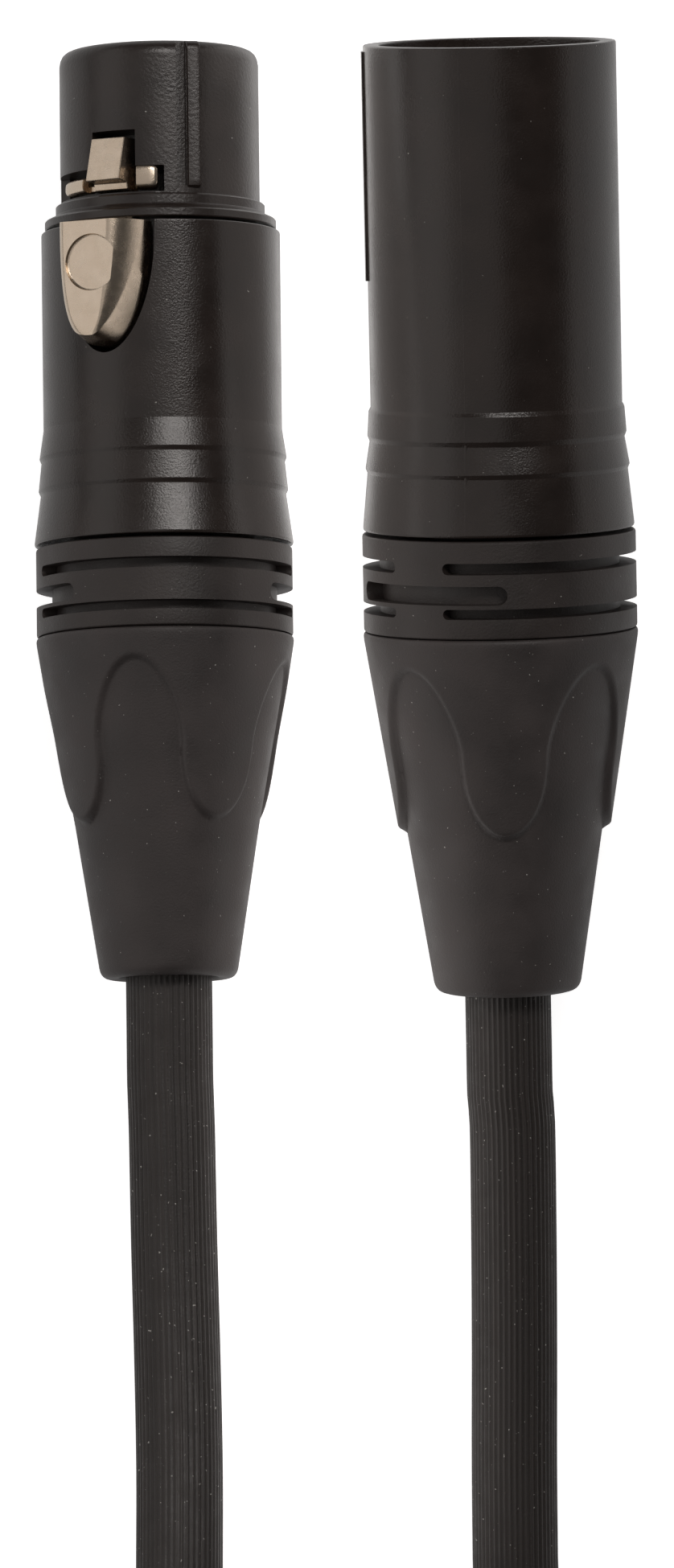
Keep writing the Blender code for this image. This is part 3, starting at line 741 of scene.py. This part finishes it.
# %% Boots
BOOT_LENGTH = 27.1
BOOT_SIDES = 432
ARCH_TOP = 2.45
TONGUE_END = 15.0
BOOT_MEAN = 9.2
CROWN_RADIUS, CROWN_TAPER = 10.28, 0.160
CONE_RADIUS, CONE_TAPER = 7.28, 0.157
STEP_WIDTH = 0.46
BOOT_INSIDE = [(27.1, 4.4), (27.04, 4.0), (26.8, 3.8), (26.4, 3.72), (20.0, 3.72), (17.0, 5.2)]
BOOT_INSIDE += [(10.0, 5.6), (9.6, 7.5), (0.0, 7.5)]


def crown_edge(angle):
    """Depth of the crown's wavy edge, at angles in radians from the middle of a tongue."""
    wave = np.cos(4 * angle)
    blunt = np.where(wave > 0, 0.34, 0.62)
    return ARCH_TOP + (TONGUE_END - ARCH_TOP) * (0.5 + 0.5 * np.sign(wave) * np.abs(wave) ** blunt)


def step_distance(angles, depths):
    """Distance in millimetres from each grid point to the edge, positive on the crown.

    The edge's own points crowd together halfway, where it runs almost along the axis.
    """
    line = math.pi / 8 + (math.pi / 8 + 0.3) * np.linspace(-1, 1, 901) ** 3
    line_at = np.stack([line * BOOT_MEAN, crown_edge(line)], axis=1)
    folded = np.abs((angles + math.pi / 4) % (math.pi / 2) - math.pi / 4)
    out = np.zeros((len(depths), len(angles)))
    for row, depth in enumerate(depths):
        across = folded[:, None] * BOOT_MEAN - line_at[None, :, 0]
        away = np.sqrt(across**2 + (depth - line_at[None, :, 1]) ** 2).min(axis=1)
        out[row] = np.where(depth < crown_edge(folded), away, -away)
    return out


def boot_grid(tongue_side):
    """Depths, and radius at each depth and angle."""
    front_edge, rear_edge = [0.0, 0.05, 0.16, 0.32, 0.6], [26.3, 26.55, 26.75, 26.92, 27.03, 27.1]
    depths = [*front_edge, 1.0, *np.arange(1.5, 15.8, 0.17), *np.arange(16.2, 26.2, 0.8), *rear_edge]
    depths = np.array(depths)
    angles = np.arange(BOOT_SIDES) * 2 * math.pi / BOOT_SIDES
    crown = CROWN_RADIUS - CROWN_TAPER * depths
    between = crown - 0.35 - 0.02 * np.maximum(0, depths - ARCH_TOP)
    below = CONE_RADIUS - CONE_TAPER * (depths - TONGUE_END)
    cone = np.where(depths < TONGUE_END, between, below - 0.001)
    inside = step_distance(angles - math.radians(tongue_side), depths)
    share = np.sin(np.clip((inside + 0.03) / STEP_WIDTH, 0, 1) * math.pi / 2) ** 0.8
    radius = cone[:, None] + (crown - cone)[:, None] * share
    front = np.interp(depths, front_edge, [0.30, 0.17, 0.07, 0.02, 0])
    rear = np.interp(depths, rear_edge, [0, 0.03, 0.10, 0.22, 0.38, 0.62])
    return depths, radius - front[:, None] - rear[:, None]


def boot(side, size, tongue_side, place):
    start = COLLAR_START[side] + (COLLAR_LENGTH + 0.06) * size
    depths, radii = boot_grid(tongue_side)
    turns = [360 * i / BOOT_SIDES for i in range(BOOT_SIDES)]
    rows = []
    for depth, row in zip(depths, radii):
        rows.append([around(radius * size, t, start + depth * size) for radius, t in zip(row, turns)])
    for depth, radius in BOOT_INSIDE:
        rows.append([around(radius * size, t, start + depth * size) for t in turns])
    name = f"{side}_boot"
    piece(f"{name}_shaped", skin(rows, tube=True), place, boot_rubber, name, [name], 60)


boot("female", FEMALE_SIZE, 31.0, FEMALE)
boot("male", MALE_SIZE, 0.0, MALE)

# %% [markdown]
# ## The male shell
#
# The male connector is an open tube, so its rim shows its wall and a dark inside. Two thin
# parting lines from the moulding tool run along it, and a shallow rib lies on its left. The
# lines are slender closed ridges that follow the same profile as the lathe does.

# %% The male shell
shell_profile = [(0, 8.45), (0, 9.67), (27.7, 9.64), (28.0, 9.80), (29.9, 9.93), (30.3, 9.77)]
shell_profile += [(32.4, 10.12), (32.75, 9.98), (36.95, 10.40), (37.15, 10.36), (37.15, 7.75)]
shell_profile += [(27.0, 7.75), (27.0, 8.45)]


def parting_line(outline, angle, depths, raised=0.012, width=0.14):
    """A hair-thin ridge along the axis, on the outer surface between two depths."""
    inner_wall, mean_radius = 8.9, 9.7
    outer = sorted((d, r) for d, r in outline if r > inner_wall)
    marks = np.linspace(*depths, 60)
    radii = np.interp(marks, [d for d, r in outer], [r for d, r in outer])
    spread = math.degrees(width / mean_radius)
    section = ((-0.1, -1.0), (-0.005, -0.5), (raised, 0.0), (-0.005, 0.5), (-0.1, 1.0))
    rows = []
    for mark, radius in zip(marks, radii):
        rows.append([around(radius + rise, angle + spread * side, mark) for rise, side in section])
    return skin(rows, caps=True)


rib = ring_block((9.0, 9.84), (0.5, 18.0), (-96, -84), 8)
shell = shaped(lathe(eased(shell_profile, 0.17), 192), (), [rib])
for angle in (-15.0, 165.0):
    add(shell, parting_line(shell_profile, angle, (0.6, 36.9)))
piece("male_shell_shaped", shell, MALE, satin_black, "lead", ["male_shell"])

# %% [markdown]
# Inside the shell stand three contact pins in a moulded carrier. The pins are turned brass with
# a silver plate and a rounded nose.


# %% Pins
PIN_RADIUS = 1.22
for number, (x, z) in enumerate(contact_spots, start=1):
    profile = [(2.2, 0), (2.2, 0.42), (2.32, 0.68), (2.62, 0.94), (3.05, 1.13), (3.6, PIN_RADIUS)]
    profile += [(27.2, PIN_RADIUS), (27.2, 1.05), (29.2, 1.05), (29.2, 0.7), (27.4, 0.7), (27.4, 0)]
    pin = lathe(profile, 48, (x * MALE_SIZE, z * MALE_SIZE))
    pin.transform(pin_turn)
    piece(f"male_pin_{number}_turned", pin, MALE, silver_contact, "lead", [f"male_pin_{number}"])

# %% [markdown]
# ## The cable's route
#
# The cable leaves each boot straight, and its rest is one hank: two turns side by side in each
# of four layers, folded round both ends. It starts at the male connector's end, goes down the
# outer place of the bottom layer, and changes place or layer only in the near folds, a little
# further round each time so that the crossings don't meet. Those folds also bulge outwards and
# upwards, which gives the crossings room. The points are close together in a fold and sparse
# on a straight run.

# %% The cable's route
CABLE_RADIUS = 3.3
HANK_CENTRE = 0.7
HANK_NEAR = -115.0
HANK_FAR = HANK_NEAR - 93.5
REACH = {"in": 19.8, "out": 26.4}
LEVEL = [4.8 + 2 * CABLE_RADIUS * k for k in range(4)]
CROSSING_HALF = 50
CROSSING_STEP = 10
FOLD_BULGE = 0.30
FOLD_RISE = 0.14
TURNS = [("out", 0), ("in", 0), ("in", 1), ("out", 1), ("out", 2), ("in", 2), ("in", 3), ("out", 3)]
FEMALE_ROUTE = [(-12.62, -47.0, 15.10), (-12.42, -56.0, 16.15), (-12.15, -65.0, 17.80)]
FEMALE_ROUTE += [(-11.97, -73.0, 19.80), (-11.95, -80.5, 22.00)]
MALE_ROUTE = [(13.50, -47.0, 6.60), (13.62, -55.0, 5.90), (13.68, -64.0, 5.35)]
MALE_ROUTE += [(13.68, -73.0, 5.00), (13.75, -80.5, 4.85)]


def smooth_route(points, spacing):
    """Points along a smooth curve through the given ones."""
    points = [Vector(p) for p in points]
    padded = [points[0] * 2 - points[1], *points, points[-1] * 2 - points[-2]]
    route = []
    for i in range(len(points) - 1):
        a, b, c, d = padded[i : i + 4]
        steps = max(1, round((c - b).length / spacing))
        for step in range(steps):
            t = step / steps
            curve = 2 * b + (c - a) * t + (2 * a - 5 * b + 4 * c - d) * t**2
            route.append((curve + (3 * b - a - 3 * c + d) * t**3) / 2)
    return [*route, points[-1]]


def tail(place, boot_end, route, end_x, end_z):
    """From inside the boot to the hank's near end: straight, then two equal bends."""
    ahead = [place @ Vector((0, -(boot_end + d), 0)) / MM for d in (-3.0, 0, 4, 8)]
    points = smooth_route([*ahead, *route], 1.5)
    start = points[-1]
    shift, run = end_x - start.x, start.y - HANK_NEAR
    turn = 2 * math.atan2(abs(shift), run)
    bend = run / (2 * math.sin(turn))
    for i in range(1, 25):
        angle = turn * i / 12
        if i <= 12:
            across, along = bend * (1 - math.cos(angle)), bend * math.sin(angle)
        else:
            left = 2 * turn - angle
            across, along = abs(shift) - bend * (1 - math.cos(left)), run - bend * math.sin(left)
        share = min(1.0, along / run * 1.6)
        height = start.z + (end_z - start.z) * math.sin(share * math.pi / 2)
        points.append(Vector((start.x + math.copysign(across, shift), start.y - along, height)))
    return points


def eased_share(angle, centre, half):
    """0 before a stretch of the fold, 1 after it, and a smooth change within it."""
    share = min(1.0, max(0.0, (centre + half - angle) / (2 * half)))
    return share * share * (3 - 2 * share)


def hank_route():
    """Down one side, round the far fold, back up the other side and round the near fold."""
    points = []
    for number, (place, layer) in enumerate(TURNS):
        reach, height = REACH[place], LEVEL[layer]
        for i in range(1, 6):
            points.append((HANK_CENTRE + reach, HANK_NEAR + (HANK_FAR - HANK_NEAR) * i / 6, height))
        for i in range(19):
            turn = math.pi * i / 18
            points.append((HANK_CENTRE + reach * math.cos(turn), HANK_FAR - reach * math.sin(turn), height))
        for i in range(1, 6):
            points.append((HANK_CENTRE - reach, HANK_FAR + (HANK_NEAR - HANK_FAR) * i / 6, height))
        if number == len(TURNS) - 1:
            break
        next_place, next_layer = TURNS[number + 1]
        centre = 90 + CROSSING_STEP * (number - 3)
        for i in range(25):
            angle = 180 - 7.5 * i
            turn = math.radians(angle)
            share = eased_share(angle, centre, CROSSING_HALF)
            spread = math.sin(turn) ** 2
            at = reach + (REACH[next_place] - reach) * share
            at = REACH["in"] + (at - REACH["in"]) * (1 + FOLD_BULGE * spread)
            up = height + (LEVEL[next_layer] - height) * share
            up = LEVEL[0] + (up - LEVEL[0]) * (1 + FOLD_RISE * spread)
            points.append((HANK_CENTRE + at * math.cos(turn), HANK_NEAR + at * math.sin(turn), up))
    return [Vector(p) for p in points]


female_boot_end = COLLAR_START["female"] + (COLLAR_LENGTH + BOOT_LENGTH) * FEMALE_SIZE
male_boot_end = COLLAR_START["male"] + (COLLAR_LENGTH + BOOT_LENGTH) * MALE_SIZE
female_tail = tail(FEMALE, female_boot_end, FEMALE_ROUTE, HANK_CENTRE - REACH["out"], LEVEL[3])
male_tail = tail(MALE, male_boot_end, MALE_ROUTE, HANK_CENTRE + REACH["out"], LEVEL[0])
cable_route = [*female_tail, *reversed(hank_route()), *reversed(male_tail)]

# %% [markdown]
# ## The ribbed jacket
#
# The jacket has dozens of fine ribs along its whole length. That is a profile that follows a
# path, which Geometry Nodes does well: a circle gets three points for each rib, every third one
# is pulled in to make a groove, and Curve to Mesh sweeps it along the route. The tree also
# writes the UV map that the jacket's finish reads.


# %% A node tree that sweeps a ribbed profile
def value_input(tree, name, kind, default):
    socket = tree.interface.new_socket(name, in_out="INPUT", socket_type=kind)
    if default is not None:
        socket.default_value = default
    return socket.identifier


def maths(tree, operation, first, second):
    return add_node(tree, "ShaderNodeMath", {0: first, 1: second}, operation=operation).outputs[0]


def along_curve(tree, geometry, source):
    """Stores a spline's own measure on its points, so that the swept mesh keeps it."""
    spline = tree.nodes.new("GeometryNodeSplineParameter")
    capture = tree.nodes.new("GeometryNodeCaptureAttribute")
    capture.capture_items.new("FLOAT", "measure")
    tree.links.new(geometry, capture.inputs["Geometry"])
    tree.links.new(spline.outputs[source], capture.inputs[1])
    return capture.outputs["Geometry"], capture.outputs[1]


def ribbed_sweep():
    tree = bpy.data.node_groups.new("ribbed_sweep", "GeometryNodeTree")
    tree.interface.new_socket("Geometry", in_out="INPUT", socket_type="NodeSocketGeometry")
    sockets = {
        "radius": value_input(tree, "Jacket radius", "NodeSocketFloat", 0.0033),
        "ribs": value_input(tree, "Number of ribs", "NodeSocketInt", 56),
        "groove": value_input(tree, "Groove depth", "NodeSocketFloat", 0.0001),
        "look": value_input(tree, "Finish", "NodeSocketMaterial", None),
    }
    tree.interface.new_socket("Geometry", in_out="OUTPUT", socket_type="NodeSocketGeometry")
    given = tree.nodes.new("NodeGroupInput").outputs
    result = tree.nodes.new("NodeGroupOutput")

    resolution = maths(tree, "MULTIPLY", given["Number of ribs"], 3)
    circle = add_node(tree, "GeometryNodeCurvePrimitiveCircle", {
        "Resolution": resolution, "Radius": given["Jacket radius"]})
    index = tree.nodes.new("GeometryNodeInputIndex").outputs[0]
    third = maths(tree, "COMPARE", maths(tree, "MODULO", index, 3), 0)
    depth = maths(tree, "MULTIPLY", third, given["Groove depth"])
    share = maths(tree, "DIVIDE", depth, given["Jacket radius"])
    position = tree.nodes.new("GeometryNodeInputPosition").outputs[0]
    kept = maths(tree, "SUBTRACT", 1.0, share)
    inward = add_node(tree, "ShaderNodeVectorMath", {0: position, "Scale": kept}, operation="SCALE")
    grooved = add_node(tree, "GeometryNodeSetPosition", {
        "Geometry": circle.outputs["Curve"], "Position": inward.outputs[0]})

    profile, round_it = along_curve(tree, grooved.outputs["Geometry"], "Factor")
    path, down_it = along_curve(tree, given["Geometry"], "Length")
    sweep = add_node(tree, "GeometryNodeCurveToMesh", {
        "Curve": path, "Profile Curve": profile, "Fill Caps": True})
    both = add_node(tree, "ShaderNodeCombineXYZ", {0: round_it, 1: down_it})
    store = add_node(tree, "GeometryNodeStoreNamedAttribute", {
        "Geometry": sweep.outputs["Mesh"], "Name": "jacket", "Value": both.outputs[0]},
        data_type="FLOAT2", domain="CORNER")
    real = add_node(tree, "GeometryNodeRealizeInstances", {"Geometry": store.outputs["Geometry"]})
    dress = add_node(tree, "GeometryNodeSetMaterial", {
        "Geometry": real.outputs["Geometry"], "Material": given["Finish"]})
    tree.links.new(dress.outputs["Geometry"], result.inputs["Geometry"])
    return tree, sockets


sweep_tree, sweep_sockets = ribbed_sweep()
print(len(sweep_tree.nodes), "nodes in the sweep")


# %% The ribbed jacket
def run_tree(thing, tree, sockets, values):
    """Runs a node tree on an object and gives its result as a plain mesh."""
    modifier = thing.modifiers.new(tree.name, "NODES")
    modifier.node_group = tree
    for key, value in values.items():
        modifier[sockets[key]] = value
    data = evaluated(thing)
    thing.modifiers.remove(modifier)
    return data


RIB_COUNT = 48
route_curve = bpy.data.curves.new("cable_route", "CURVE")
route_curve.dimensions = "3D"
route_line = route_curve.splines.new("POLY")
route_line.points.add(len(cable_route) - 1)
for spot, point in zip(route_line.points, cable_route):
    spot.co = (*(point * MM), 1)
route_thing = placed("cable_route", route_curve)
jacket_values = {"radius": CABLE_RADIUS * MM, "ribs": RIB_COUNT, "groove": 0.00014, "look": cable_jacket}
jacket_mesh = run_tree(route_thing, sweep_tree, sweep_sockets, jacket_values)
bpy.data.objects.remove(route_thing)
jacket_mesh.shade_smooth()
cable = placed("cable", jacket_mesh)
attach(cable, "lead")
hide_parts("cable_tail_female", "cable_tail_male", "cable_hank")
print("cable", len(jacket_mesh.polygons), "faces,", [u.name for u in jacket_mesh.uv_layers])

# %% [markdown]
# ## The strap
#
# A hook-and-loop strap holds the hank together at its far fold. It is a band about a
# millimetre thick with rounded corners, pulled through itself, so its free end lies doubled on
# top. The band is skinned from rounded rectangles that follow the fold.

# %% The strap
STRAP_HALF = 7.0
STRAP_THICK = 1.2


def band_section(near, far, low, high, radius, steps=7):
    """A rounded rectangle of reach and height pairs, always with the same number of points."""
    points = []
    for cx, cz, start in ((far - radius, high - radius, 0), (near + radius, high - radius, 90),
                          (near + radius, low + radius, 180), (far - radius, low + radius, 270)):
        for i in range(steps + 1):
            turn = math.radians(start + 90 * i / steps)
            points.append((cx + radius * math.cos(turn), cz + radius * math.sin(turn)))
    return points


def on_fold(reach, height, across):
    """A point at a distance across the strap, on the arc of the far fold."""
    return (HANK_CENTRE + across, HANK_FAR - math.sqrt(reach**2 - across**2), height)


near, far = REACH["in"] - CABLE_RADIUS - 0.3, REACH["out"] + CABLE_RADIUS + 0.3
low, high = LEVEL[0] - CABLE_RADIUS - 0.3, LEVEL[3] + CABLE_RADIUS + 0.3
outside = band_section(near - STRAP_THICK, far + STRAP_THICK, low - STRAP_THICK, high + STRAP_THICK, 1.9)
inside = band_section(near, far, low, high, 0.7)
rows = []
for across in (-STRAP_HALF, -6.75, -5.5, -3, 0, 3, 5.5, 6.75, STRAP_HALF):
    inset = 0.25 if abs(across) > 6.9 else 0.0
    rows.append([on_fold(r + (q - r) * inset, z + (w - z) * inset, across)
                 for (r, z), (q, w) in zip(outside, inside)])
for across in (STRAP_HALF, 0, -STRAP_HALF):
    rows.append([on_fold(r, z, across) for r, z in inside])
strap = skin(rows, tube=True)
flap_top = [(near + 1.5, 0.9), (near + 1.7, 0.2), (near + 2.6, 0)]
flap_top += [(far - 4.4, 0), (far - 3.6, 0.2), (far - 3.4, 0.9)]
flap_rows = []
for across in (-6.9, -6.6, -3, 0, 3, 6.6, 6.9):
    lift = high + STRAP_THICK + (0.85 if abs(across) < 6.8 else 0.6)
    row = []
    for reach, drop in flap_top:
        row.append(on_fold(reach, lift - drop, across))
    row += [on_fold(far - 3.4, high + 0.9, across), on_fold(near + 1.5, high + 0.9, across)]
    flap_rows.append(row)
add(strap, skin(flap_rows, caps=True))
cable_strap = piece("cable_strap", strap, ON_TABLE, strap_black, "lead", ["cable_tie"], 50)

# %% [markdown]
# ## What holds the cable
#
# The cable isn't fixed by anything but its two ends and the strap.

# %% [markdown]
# ## Inner pieces
#
# What is left are pieces that hide inside: the nuts on the boots, the clamping chucks, the
# jacket's ends, the cores, the sockets, and the latch's pin and spring. Their measured shapes
# are good enough, so they only get their finishes.

# %% Inner pieces
INNER = {
    "female_boot_nut": inner_plastic,
    "male_boot_nut": inner_plastic,
    "female_chuck": chuck_white,
    "male_chuck": chuck_white,
    "male_carrier": inner_plastic,
    "female_latch_pin": spring_steel,
    "female_latch_spring": spring_steel,
}
for side in ("female", "male"):
    INNER[f"{side}_core_1"] = screen_wire
    INNER[f"{side}_core_2"] = core_red
    INNER[f"{side}_core_3"] = core_white
for number in (1, 2, 3):
    INNER[f"female_socket_{number}"] = silver_contact
jacket_end = moulded("cable_jacket", (0.0190, 0.0145, 0.0128), (0.42, 0.56), 6000, 9e-6)
INNER["female_cable_end"] = INNER["male_cable_end"] = jacket_end
for name, look in INNER.items():
    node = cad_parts[name]
    node.data.materials.clear()
    node.data.materials.append(look)
print(len(INNER), "inner pieces dressed")

# %% Sizes and finish
low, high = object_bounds()
print("finished box in metres:", [round(c, 4) for c in (*low, *high)])
